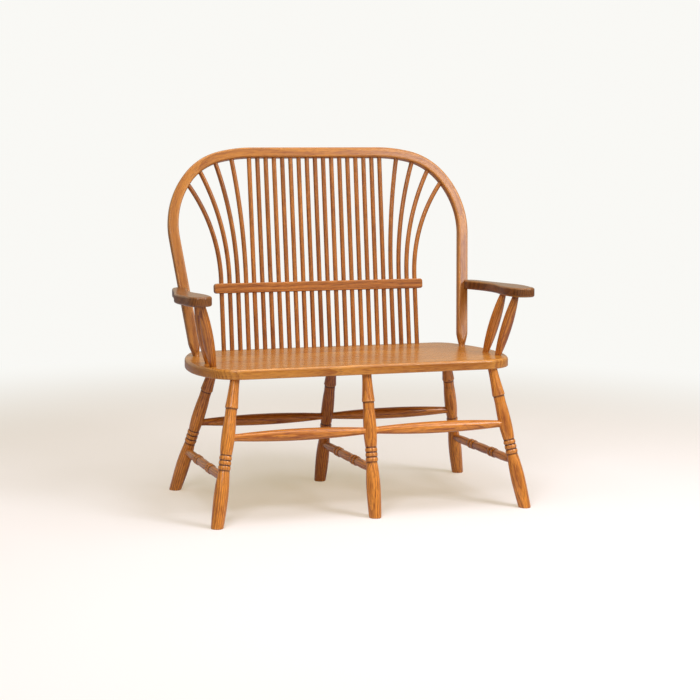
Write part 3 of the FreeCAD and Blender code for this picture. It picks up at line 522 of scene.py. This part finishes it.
def legSpots(length):
    # radius, place and bulge from the floor up
    low = leg["beadsFrom"]
    step = (leg["beadsTo"] - low) / 3
    rise = leg["beadRadius"] - leg["grooveRadius"]
    spots = [(leg["footRadius"] - leg["footRound"], 0, leg["footRoundBulge"]),
             (leg["footRadius"], leg["footRoundTall"], leg["footBulge"]),
             (leg["lowerRadius"], leg["lowerAt"] * length, leg["lowerBulge"]),
             (leg["grooveRadius"], (low - leg["grooveShare"]) * length, 0)]
    spots += [(leg["grooveRadius"], (low + bead * step) * length, rise) for bead in range(3)]
    spots += [(leg["grooveRadius"], leg["beadsTo"] * length, 0),
              (leg["waistRadius"], (leg["beadsTo"] + leg["ledgeShare"]) * length, leg["waistBulge"]),
              (leg["upperRadius"], leg["upperAt"] * length, leg["upperBulge"]),
              (leg["waistRadius"], leg["waistAt"] * length, 0),
              (leg["waistRadius"], (leg["collarAt"] - leg["ledgeShare"]) * length, 0),
              (leg["collarRadius"], leg["collarAt"] * length, leg["collarBulge"]),
              (leg["neckRadius"], length - leg["neck"], 0),
              (leg["neckRadius"], length + leg["tenon"] - fit["tenonInset"], 0)]
    return spots


# each leg's axis, from its foot to the underside of the seat
legLines = {}
for row, edgeY, inward in (("front", -seat["front"], 1), ("back", seatBack, -1)):
    topX = seat["halfWidth"] - leg[row + "In"][0]
    topY = edgeY + inward * leg[row + "In"][1]
    outX, outY = leg[row + "Splay"]
    for word, side in (("left", -1), ("centre", 0), ("right", 1)):
        foot = np.array([side * (topX + outX), topY + outY, 0.0])
        legLines[row + "_leg_" + word] = (foot, underSeat(side * topX, topY))
for seed, (node, (foot, top)) in enumerate(legLines.items(), logNumbers["legs"]):
    turnPiece(node, "oak_turned_base", legSpots(np.linalg.norm(top - foot)), foot, top, seed,
              columns=leg["columns"], level=0.0)
print("legs made")

# Stretchers
stretcher = {
    "frontLongAt": 0.602,        # shares of the way up the leg
    "backLongAt": 0.545,
    "longEnd": 0.0110,
    "longMiddle": 0.0180,
    "sideFrontAt": 0.335,
    "sideBackAt": 0.312,
    "sideEnd": 0.0110,
    "sideSwell": 0.0140,
    "sideBead": 0.0156,
    "sideGroove": 0.0122,
    "beadLength": 0.024,
    "beadFromMiddle": 0.058,
    "endBulge": 0.0016,
    "tenon": 0.014,
    "neck": 0.008,
}


def longSpots(length):
    # one long swell between two straight ends
    ends = stretcher["longEnd"]
    neck = stretcher["tenon"] + stretcher["neck"]
    return [(ends, fit["tenonInset"], 0), (ends, neck, stretcher["longMiddle"] - ends),
            (ends, length - neck, 0), (ends, length - fit["tenonInset"], 0)]


def sideSpots(length):
    # two pairs of beads, each pair the same distance from the middle
    ends = stretcher["sideEnd"]
    groove = stretcher["sideGroove"]
    neck = stretcher["tenon"] + stretcher["neck"]
    rise = stretcher["sideBead"] - groove
    swell = stretcher["sideSwell"] - groove
    near = stretcher["beadFromMiddle"]
    bead = stretcher["beadLength"]
    middle = length / 2
    taper = stretcher["endBulge"]
    return [(ends, fit["tenonInset"], 0), (ends, neck, taper),
            (groove, middle - near - 2 * bead, rise), (groove, middle - near - bead, rise),
            (groove, middle - near, swell), (groove, middle + near, rise),
            (groove, middle + near + bead, rise), (groove, middle + near + 2 * bead, taper),
            (ends, length - neck, 0), (ends, length - fit["tenonInset"], 0)]


def tieLegs(node, first, last, shares, legRadius, spots, seed):
    # the piece runs between the two legs' axes, short of each by all but the tenon
    begin = legLines[first][0] + shares[0] * (legLines[first][1] - legLines[first][0])
    finish = legLines[last][0] + shares[1] * (legLines[last][1] - legLines[last][0])
    run = unit(finish - begin)
    inset = legRadius - stretcher["tenon"]
    start = begin + run * inset
    end = finish - run * inset
    turnPiece(node, "oak_turned_base", spots(np.linalg.norm(end - start)), start, end, seed)


seed = logNumbers["stretchers"]
for row in ("front", "back"):
    for word, first, last in (("left", "left", "centre"), ("right", "centre", "right")):
        tieLegs(row + "_stretcher_" + word, row + "_leg_" + first, row + "_leg_" + last,
                [stretcher[row + "LongAt"]] * 2, leg["upperRadius"], longSpots, seed)
        seed += 1
for word in ("left", "centre", "right"):
    tieLegs("side_stretcher_" + word, "front_leg_" + word, "back_leg_" + word,
            [stretcher["sideFrontAt"], stretcher["sideBackAt"]], leg["lowerRadius"],
            sideSpots, seed)
    seed += 1
print("stretchers made")

# Bow
bow = {
    "rake": 17.7,
    "fromBack": 0.1446,          # front face from the seat's back edge, at seat level
    "width": 0.0325,
    "thick": 0.026,
    "edge": 0.005,
    "rise": 0.666,
    "topHalf": 0.2126,
    "arcs": ((0.470, 13.8), (0.2127, 35.8), (0.2805, None)),     # outer radius, turn
    "endLean": 6.2,
    "footRadius": 0.0098,
    "footTaper": 0.051,
    "footNeck": 0.003,
    "footBulge": 0.0008,
    "footTenon": 0.018,
    "steps": 60,                 # along the flat top and along each arc
    "limbSteps": 180,
    "rubFrom": 1.1,              # the section's corners are rubbed from this reach outwards
    "rubGain": 1.6,
    "rubMost": 0.6,
    "squareFrom": 0.999,         # below this share of the full section it is the foot's cone
}


def bowSpot(x, rise):
    # a point of the bow's raked middle plane
    x = np.asarray(x, float)
    rise = np.asarray(rise, float)
    y = seatBack - bow["fromBack"] + bow["thick"] / 2 / cos(bow["rake"])
    return np.stack([x, y + rise * sin(bow["rake"]), seat["height"] + rise * cos(bow["rake"])],
                    axis=-1)


def bowLine():
    # half the centre line in its own plane: flat top, three arcs, straight limb to the seat
    half = bow["width"] / 2
    spot = np.array([bow["topHalf"], bow["rise"] - half])
    steps = bow["steps"]
    runs = [np.stack([np.linspace(0, spot[0], steps), np.full(steps, spot[1])], axis=1)]
    heading = 0.0
    for radius, turn in bow["arcs"]:
        after = heading + turn if turn else 90 + bow["endLean"]
        angle = np.radians(np.linspace(heading, after, steps))
        centre = spot - (radius - half) * np.array([sin(heading), cos(heading)])
        arc = centre + (radius - half) * np.stack([np.sin(angle), np.cos(angle)], axis=1)
        runs.append(arc[1:])
        spot = arc[-1]
        heading = after
    limbTop = spot
    down = -np.array([sin(bow["endLean"]), cos(bow["endLean"])])
    taperStart = spot + down * (spot[1] - bow["footTaper"]) / -down[1]
    start = bowSpot(*taperStart)
    run = unit(bowSpot(*(taperStart + down)) - start)
    fall = (start[2] - seatTop(start[1])) / (-run[2] - run[1] * tan(seat["tilt"]))
    length = np.linalg.norm(taperStart - spot) + fall + bow["footTenon"] - fit["tenonInset"]
    places = np.linspace(0, length, bow["limbSteps"])[1:]
    runs.append(spot + places[:, None] * down)
    line = np.concatenate(runs)
    total = np.concatenate([[0], np.cumsum(np.linalg.norm(np.diff(line, axis=0), axis=1))])
    fromTaper = total - (total[-1] - fall - bow["footTenon"] + fit["tenonInset"])
    return line, fromTaper, fall, limbTop, down


bowHalf, fromTaper, taperFall, limbTop, limbDown = bowLine()


def roundedSquare(width, thick, edge, corner=7, side=5):
    # corner arcs joined by straight sides, turning left
    runs = []
    for index, (x, y) in enumerate(((1, 1), (-1, 1), (-1, -1), (1, -1))):
        angle = np.radians(np.linspace(90 * index, 90 * index + 90, corner))
        centre = np.array([x * (width / 2 - edge), y * (thick / 2 - edge)])
        runs.append(centre + edge * np.stack([np.cos(angle), np.sin(angle)], axis=1))
    ring = []
    for run, following in zip(runs, runs[1:] + runs[:1]):
        share = np.linspace(0, 1, side + 2)[1:-1, None]
        ring.extend([run, run[-1] + share * (following[0] - run[-1])])
    return np.concatenate(ring)


def makeBow():
    # the squared section, at each foot held inside a cone that narrows to the round tenon
    line = np.concatenate([bowHalf[::-1] * (-1, 1), bowHalf[1:]])
    drop = np.concatenate([fromTaper[::-1], fromTaper[1:]])
    path = bowSpot(line[:, 0], line[:, 1])
    depth = unit(np.cross(bowSpot(1, 0) - bowSpot(0, 0), bowSpot(0, 1) - bowSpot(0, 0)))
    ring = roundedSquare(bow["width"], bow["thick"], bow["edge"])
    wide = math.hypot(bow["width"], bow["thick"]) / 2
    run = taperFall - bow["footNeck"]
    share = np.clip(drop / run, 0, 1)
    cone = wide + (bow["footRadius"] - wide) * share + 4 * bow["footBulge"] * share * (1 - share)
    reach = np.linalg.norm(ring, axis=1)
    scale = np.minimum(1, cone[:, None] / reach[None])
    section = ring[None] * scale[..., None]
    grid, grain, tone = bendGrid(path, depth, section, logNumbers["bow"])
    corner = reach / (min(bow["width"], bow["thick"]) / 2)
    rubbed = np.clip((corner - bow["rubFrom"]) * bow["rubGain"], 0, bow["rubMost"])
    wearAndShade = np.repeat(rubbed[None], len(line), axis=0)
    wearAndShade *= (scale > bow["squareFrom"])
    makePiece("back_bow", "oak_bow", grid, grain, wearAndShade, tone)


makeBow()
print("bow made")

# Spindles
spindle = {
    "radius": 0.00725,
    "pitch": 0.02734,             # on the seat
    "topPitch": 0.02766,          # on the bow
    "fromBack": 0.0242,
    "tenon": 0.016,
    "straightEnd": 0.026,
    "fanStart": 0.008,            # above the rail
    "fanTops": (0.282, 0.3375, 0.392, 0.435),
    "straightEachSide": 8,
    "eachSide": 12,
    "columns": 28,
    "lowerRows": 40,
    "arcRows": 70,
    "endRows": 9,
}
rail = {
    "height": 0.626,
    "tall": 0.0315,
    "thick": 0.024,
    "halfLength": 0.352,
    "edge": 0.003,
    "endRound": 0.008,
    "sideSteps": 60,
}


def bowRise(x):
    # the centre line's rise above a place along the bench, read from its top and arcs
    upper = bowHalf[:(len(bow["arcs"]) + 1) * bow["steps"] + 1]
    return np.interp(abs(x), upper[:, 0], upper[:, 1])


spindleY = seatBack - spindle["fromBack"]
spindleFoot = onSeat(0, spindleY)
lowerRun = unit(bowSpot(0, bowRise(0)) - spindleFoot)
railTop = rail["height"] + rail["tall"]


def bendSpindle(node, low, top, seed):
    # straight through the rail, then one arc, then straight into the bow
    start = low - lowerRun * (spindle["tenon"] - fit["tenonInset"])
    bend = low + lowerRun * (railTop + spindle["fanStart"] - low[2]) / lowerRun[2]
    gone = top - bend
    along = gone @ lowerRun
    sideways = gone - lowerRun * along
    away = np.linalg.norm(sideways)
    sideways = sideways / away
    last = spindle["straightEnd"]
    angle = 2 * math.atan(away / (along + last))
    radius = (along - last * math.cos(angle)) / math.sin(angle)
    turn = np.linspace(0, angle, spindle["arcRows"])
    arc = np.stack([radius * (1 - np.cos(turn)), radius * np.sin(turn)], axis=1)
    base = np.linalg.norm(bend - start)
    rows = spindle["lowerRows"]
    lower = np.stack([np.zeros(rows), np.linspace(-base, 0, rows, endpoint=False)], axis=1)
    end = arc[-1] + last * np.array([math.sin(angle), math.cos(angle)])
    upper = arc[-1] + np.linspace(0, 1, spindle["endRows"])[1:, None] * (end - arc[-1])
    plane = np.concatenate([lower, arc, upper])
    path = bend + plane[:, :1] * sideways + plane[:, 1:] * lowerRun
    depth = np.cross(sideways, lowerRun)
    turnRound = np.linspace(0, 2 * math.pi, spindle["columns"], endpoint=False)
    ring = spindle["radius"] * np.stack([np.cos(turnRound), np.sin(turnRound)], axis=1)
    section = np.repeat(ring[None], len(path), axis=0)
    grid, grain, tone = bendGrid(path, depth, section, seed)
    makePiece(node, "oak_back", grid, grain, np.zeros(grid.shape[:2]), tone)


for number in range(-spindle["eachSide"], spindle["eachSide"] + 1):
    node = "spindle_%02d" % (number + spindle["eachSide"] + 1)
    seed = logNumbers["spindles"] + number
    low = onSeat(number * spindle["pitch"], spindleY)
    beyond = abs(number) - spindle["straightEachSide"]
    if beyond <= 0:
        x = number * spindle["topPitch"]
        top = bowSpot(x, bowRise(x))
        run = unit(top - low)
        start = low - run * (spindle["tenon"] - fit["tenonInset"])
        length = np.linalg.norm(top - start) - fit["tenonInset"]
        spots = [(spindle["radius"], 0, 0), (spindle["radius"], length, 0)]
        turnPiece(node, "oak_back", spots, start, top, seed, columns=spindle["columns"])
    else:
        x = math.copysign(spindle["fanTops"][beyond - 1], number)
        bendSpindle(node, low, bowSpot(x, bowRise(x)), seed)
print("spindles made")


# Middle rail
def roundedBox(halfLength, tall, radius, count=9):
    # the rail's face: a long box with rounded corners, turning left
    ring = []
    for index, (x, z) in enumerate(((1, 0), (1, 1), (-1, 1), (-1, 0))):
        angle = np.radians(np.linspace(-90 + 90 * index, 90 * index, count))
        centre = np.array([x * (halfLength - radius), radius + z * (tall - 2 * radius)])
        ring.append(centre + radius * np.stack([np.cos(angle), np.sin(angle)], axis=1))
    long = np.linspace(1, -1, rail["sideSteps"])[1:-1, None] * (halfLength - radius)
    ring.insert(2, np.concatenate([long, np.full(long.shape, tall)], axis=1))
    ring.append(np.concatenate([-long, np.zeros(long.shape)], axis=1))
    return np.concatenate(ring)


def makeRail():
    # the board stands on edge, square to the spindles that pass through it
    y = spindleFoot[1] + (rail["height"] - spindleFoot[2]) * lowerRun[1] / lowerRun[2]
    lean = math.degrees(math.atan2(lowerRun[1], lowerRun[2]))
    upright = Matrix.Rotation(math.radians(90), 4, "X")
    frontFace = Matrix.Translation((0, 0, rail["thick"] / 2))
    place = placed((0, y, rail["height"]), lean) @ upright @ frontFace
    boardPiece("back_rail", "oak_back", roundedBox(rail["halfLength"], rail["tall"], rail["endRound"]),
               rail["thick"], rail["edge"], rail["edge"], place, logNumbers["rail"], (1, 2, 0))


makeRail()
print("rail made")

# Arms and posts
arm = {
    "height": 0.664,
    "tilt": 1.72,
    "thick": 0.029,
    "edge": 0.006,
    "shortOfLimb": 0.00634,
    "fromFront": 0.006,
    "outsideLimb": 0.04811,
    "paddleHalf": 0.044,
    "points": 260,
    # share of the length from the front, and offset outward in paddle halves
    "plan": ((0.000, -0.05), (0.012, 0.35), (0.050, 0.60), (0.130, 0.74), (0.230, 0.87),
             (0.340, 0.94), (0.430, 0.86), (0.530, 0.63), (0.640, 0.42), (0.760, 0.18),
             (0.880, -0.01), (0.960, -0.23), (0.995, -0.55), (0.995, -0.88), (0.960, -1.12),
             (0.860, -1.03), (0.740, -0.74), (0.600, -0.60), (0.460, -0.66), (0.330, -0.88),
             (0.210, -1.00), (0.110, -0.97), (0.040, -0.80), (0.008, -0.45)),
}
post = {
    # from the seat's end and front, then from the arm's middle line and tip
    "front": (0.046, 0.103, 0.018, 0.062),
    "back": (0.052, 0.189, 0.024, 0.148),
    "endRadius": 0.0098,
    "middleRadius": 0.0166,
    "tenon": 0.014,
    "neck": 0.003,
}
armRise = (arm["height"] - seat["height"]) / cos(bow["rake"])
limbX = limbTop[0] + (limbTop[1] - armRise) * limbDown[0] / -limbDown[1]
armMiddle = limbX + arm["outsideLimb"]
armBack = bowSpot(limbX, armRise)[1] - arm["shortOfLimb"]
armFront = arm["fromFront"] - seat["front"]


def closedCurve(spots, count):
    # a smooth closed curve through the spots: cubic pieces whose slopes and bends agree
    spots = np.asarray(spots, float)
    gaps = np.linalg.norm(np.roll(spots, -1, axis=0) - spots, axis=1)
    size = len(spots)
    index = np.arange(size)
    before = np.roll(gaps, 1)
    matrix = np.zeros((size, size))
    matrix[index, index] = 2 * (before + gaps)
    matrix[index, (index - 1) % size] = before
    matrix[index, (index + 1) % size] = gaps
    slope = (np.roll(spots, -1, axis=0) - spots) / gaps[:, None]
    bends = np.linalg.solve(matrix, 6 * (slope - np.roll(slope, 1, axis=0)))
    after = np.roll(bends, -1, axis=0)
    places = np.concatenate([[0], np.cumsum(gaps)])
    want = np.linspace(0, places[-1], count, endpoint=False)
    piece = np.searchsorted(places, want, side="right") - 1
    gone = (want - places[piece])[:, None]
    gap = gaps[piece][:, None]
    ahead = np.roll(spots, -1, axis=0)[piece]
    return (bends[piece] * (gap - gone) ** 3 / (6 * gap) + after[piece] * gone ** 3 / (6 * gap)
            + (spots[piece] / gap - bends[piece] * gap / 6) * (gap - gone)
            + (ahead / gap - after[piece] * gap / 6) * gone)


def makeArm(word, side):
    # the plan's shares and offsets become places, and the left arm mirrors the right one
    plan = np.array(arm["plan"])
    length = armBack - armFront
    outline = np.stack([side * (armMiddle + plan[:, 1] * arm["paddleHalf"]),
                        armFront - heightY + plan[:, 0] * length], axis=1)
    curve = closedCurve(outline, arm["points"])
    if side < 0:
        curve = curve[::-1]
    boardPiece("arm_" + word, "oak_arms", curve, arm["thick"], arm["edge"], arm["edge"],
               placed((0, heightY, arm["height"]), arm["tilt"]), logNumbers["arms"] + side,
               (0, 2, 1))


def postSpots(length):
    # one swell between two straight ends
    ends = post["endRadius"]
    neck = post["tenon"] + post["neck"]
    return [(ends, fit["tenonInset"], 0), (ends, neck, post["middleRadius"] - ends),
            (ends, length - neck, 0), (ends, length - fit["tenonInset"], 0)]


seed = logNumbers["posts"]
for word, side in (("left", -1), ("right", 1)):
    makeArm(word, side)
    for end in ("front", "back"):
        fromEnd, fromFront, fromMiddle, fromTip = post[end]
        low = onSeat(side * (seat["halfWidth"] - fromEnd), fromFront - seat["front"])
        y = armFront + fromTip
        z = arm["height"] - tan(arm["tilt"]) * (y - heightY) - arm["thick"] / cos(arm["tilt"])
        high = np.array([side * (armMiddle - fromMiddle), y, z])
        run = unit(high - low)
        start = low - run * post["tenon"]
        finish = high + run * post["tenon"]
        turnPiece("arm_post_%s_%s" % (word, end), "oak_turned_posts",
                  postSpots(np.linalg.norm(finish - start)), start, finish, seed)
        seed += 1
print("arms and posts made")

# Floor and surroundings
stageLook = {
    "floor": (0.60, 0.59, 0.68),
    "floorGlow": (0.36, 0.300, 0.165),   # seen by the camera alone, so that the shadow stays warm
    "backdrop": (0.950, 0.944, 0.912),   # what the camera sees behind the bench
    "fadeFrom": 1.3,                     # the floor turns into the backdrop between these radii
    "fadeTo": 3.2,
    "reach": 14.0,
    "fill": (1.0, 0.93, 0.82),
    "fillStrength": 0.19,
    "mirrored": (1.0, 0.90, 0.72),       # the backdrop as the varnish mirrors it
    "mirroredStrength": 0.58,
}


def makeFloor():
    # one flat sheet: near the bench it is lit and takes the shadow, far off it is the backdrop
    reach = stageLook["reach"]
    spots = [(-reach, -reach, 0), (reach, -reach, 0), (reach, reach, 0), (-reach, reach, 0)]
    mesh = bpy.data.meshes.new("floor")
    mesh.from_pydata(spots, [], [(0, 1, 2, 3)])
    material = bpy.data.materials.new("pale_floor")
    material.use_nodes = True
    desk = NodeDesk(material)
    seen = desk.add("ShaderNodeLightPath").outputs["Is Camera Ray"]
    place = desk.add("ShaderNodeTexCoord").outputs["Object"]
    away = desk.add("ShaderNodeVectorMath", {0: place}, operation="LENGTH").outputs["Value"]
    fade = desk.add("ShaderNodeMapRange", {0: away, 1: stageLook["fadeFrom"], 2: stageLook["fadeTo"]},
                    interpolation_type="SMOOTHSTEP").outputs[0]
    matt = desk.add("ShaderNodeBsdfDiffuse", {"Color": (*stageLook["floor"], 1)})
    lift = desk.add("ShaderNodeEmission", {"Color": (*stageLook["floorGlow"], 1),
                                           "Strength": seen})
    matt = desk.add("ShaderNodeAddShader", {0: matt.outputs[0], 1: lift.outputs[0]})
    glow = desk.add("ShaderNodeEmission", {"Color": (*stageLook["backdrop"], 1), "Strength": 1.0})
    both = desk.add("ShaderNodeMixShader", {0: desk.sum("MULTIPLY", fade, seen),
                                            1: matt.outputs[0], 2: glow.outputs[0]})
    desk.add("ShaderNodeOutputMaterial", {0: both.outputs[0]})
    mesh.materials.append(material)
    floor = bpy.data.objects.new("floor", mesh)
    bpy.context.scene.collection.objects.link(floor)


def makeWorld():
    # plain soft fill all round, and the pale backdrop where the camera or a gloss sees it
    world = bpy.data.worlds.new("studio")
    bpy.context.scene.world = world
    world.use_nodes = True
    desk = NodeDesk(world)
    path = desk.add("ShaderNodeLightPath")
    gloss = desk.sum("MAXIMUM", path.outputs["Is Glossy Ray"], path.outputs["Is Transmission Ray"])
    fill = desk.add("ShaderNodeBackground", {"Color": (*stageLook["fill"], 1),
                                             "Strength": stageLook["fillStrength"]})
    mirrored = desk.add("ShaderNodeBackground", {"Color": (*stageLook["mirrored"], 1),
                                                 "Strength": stageLook["mirroredStrength"]})
    seen = desk.add("ShaderNodeBackground", {"Color": (*stageLook["backdrop"], 1), "Strength": 1.0})
    both = desk.add("ShaderNodeMixShader", {0: gloss, 1: fill.outputs[0], 2: mirrored.outputs[0]})
    both = desk.add("ShaderNodeMixShader", {0: path.outputs["Is Camera Ray"], 1: both.outputs[0],
                                            2: seen.outputs[0]})
    desk.add("ShaderNodeOutputWorld", {0: both.outputs[0]})


makeFloor()
makeWorld()

# Lamps: place, point aimed at, size and strength
lamps = {
    "leftFront": ((-2.1, -3.4, 3.0), (0, 0, 0.6), (1.4, 1.6), 66.0),
    "rightFront": ((2.4, -2.9, 2.9), (0, 0, 0.6), (1.5, 1.7), 104.0),
    "overhead": ((0.1, -0.4, 3.4), (0, 0, 0), (3.0, 2.2), 78.0),
}


def aimed(place, target):
    # the matrix whose back axis runs from the target to the place, never straight up or down
    back = unit(np.array(place) - np.array(target))
    right = unit(np.cross((0, 0, 1), back))
    up = np.cross(back, right)
    return Matrix([[right[i], up[i], back[i], place[i]] for i in range(3)] + [[0, 0, 0, 1]])


for name, (place, target, (wide, tall), power) in lamps.items():
    lamp = bpy.data.lights.new(name, "AREA")
    lamp.shape = "RECTANGLE"
    lamp.size = wide
    lamp.size_y = tall
    lamp.energy = power
    holder = bpy.data.objects.new(name, lamp)
    holder.matrix_world = aimed(place, target)
    bpy.context.scene.collection.objects.link(holder)
print("stage and lamps made")

# Camera, worked out from the feet, the seat and the bow in the photograph
camera = {
    "place": (-1.7254, -5.2690, 1.2251),
    "yaw": 18.334,
    "pitch": 7.803,
    "roll": 0.371,
    "focal": 1790.5,             # in pixels of a frame 700 wide
    "frame": 700.0,
    "sensor": 36.0,
}


def makeCamera():
    # turned by the yaw from straight ahead, tipped down by the pitch, then rolled about its view
    yaw = camera["yaw"]
    pitch = camera["pitch"]
    ahead = np.array([sin(yaw) * cos(pitch), cos(yaw) * cos(pitch), -sin(pitch)])
    right = np.array([cos(yaw), -sin(yaw), 0.0])
    up = np.cross(right, ahead)
    roll = camera["roll"]
    rolledRight = right * cos(roll) + up * sin(roll)
    rolledUp = up * cos(roll) - right * sin(roll)
    data = bpy.data.cameras.new("viewpoint")
    data.sensor_width = camera["sensor"]
    data.lens = camera["focal"] * camera["sensor"] / camera["frame"]
    holder = bpy.data.objects.new("viewpoint", data)
    place = camera["place"]
    holder.matrix_world = Matrix([[rolledRight[i], rolledUp[i], -ahead[i], place[i]]
                                  for i in range(3)] + [[0, 0, 0, 1]])
    bpy.context.scene.collection.objects.link(holder)
    bpy.context.scene.camera = holder


makeCamera()
bpy.context.scene.view_settings.view_transform = "Standard"

print("done")
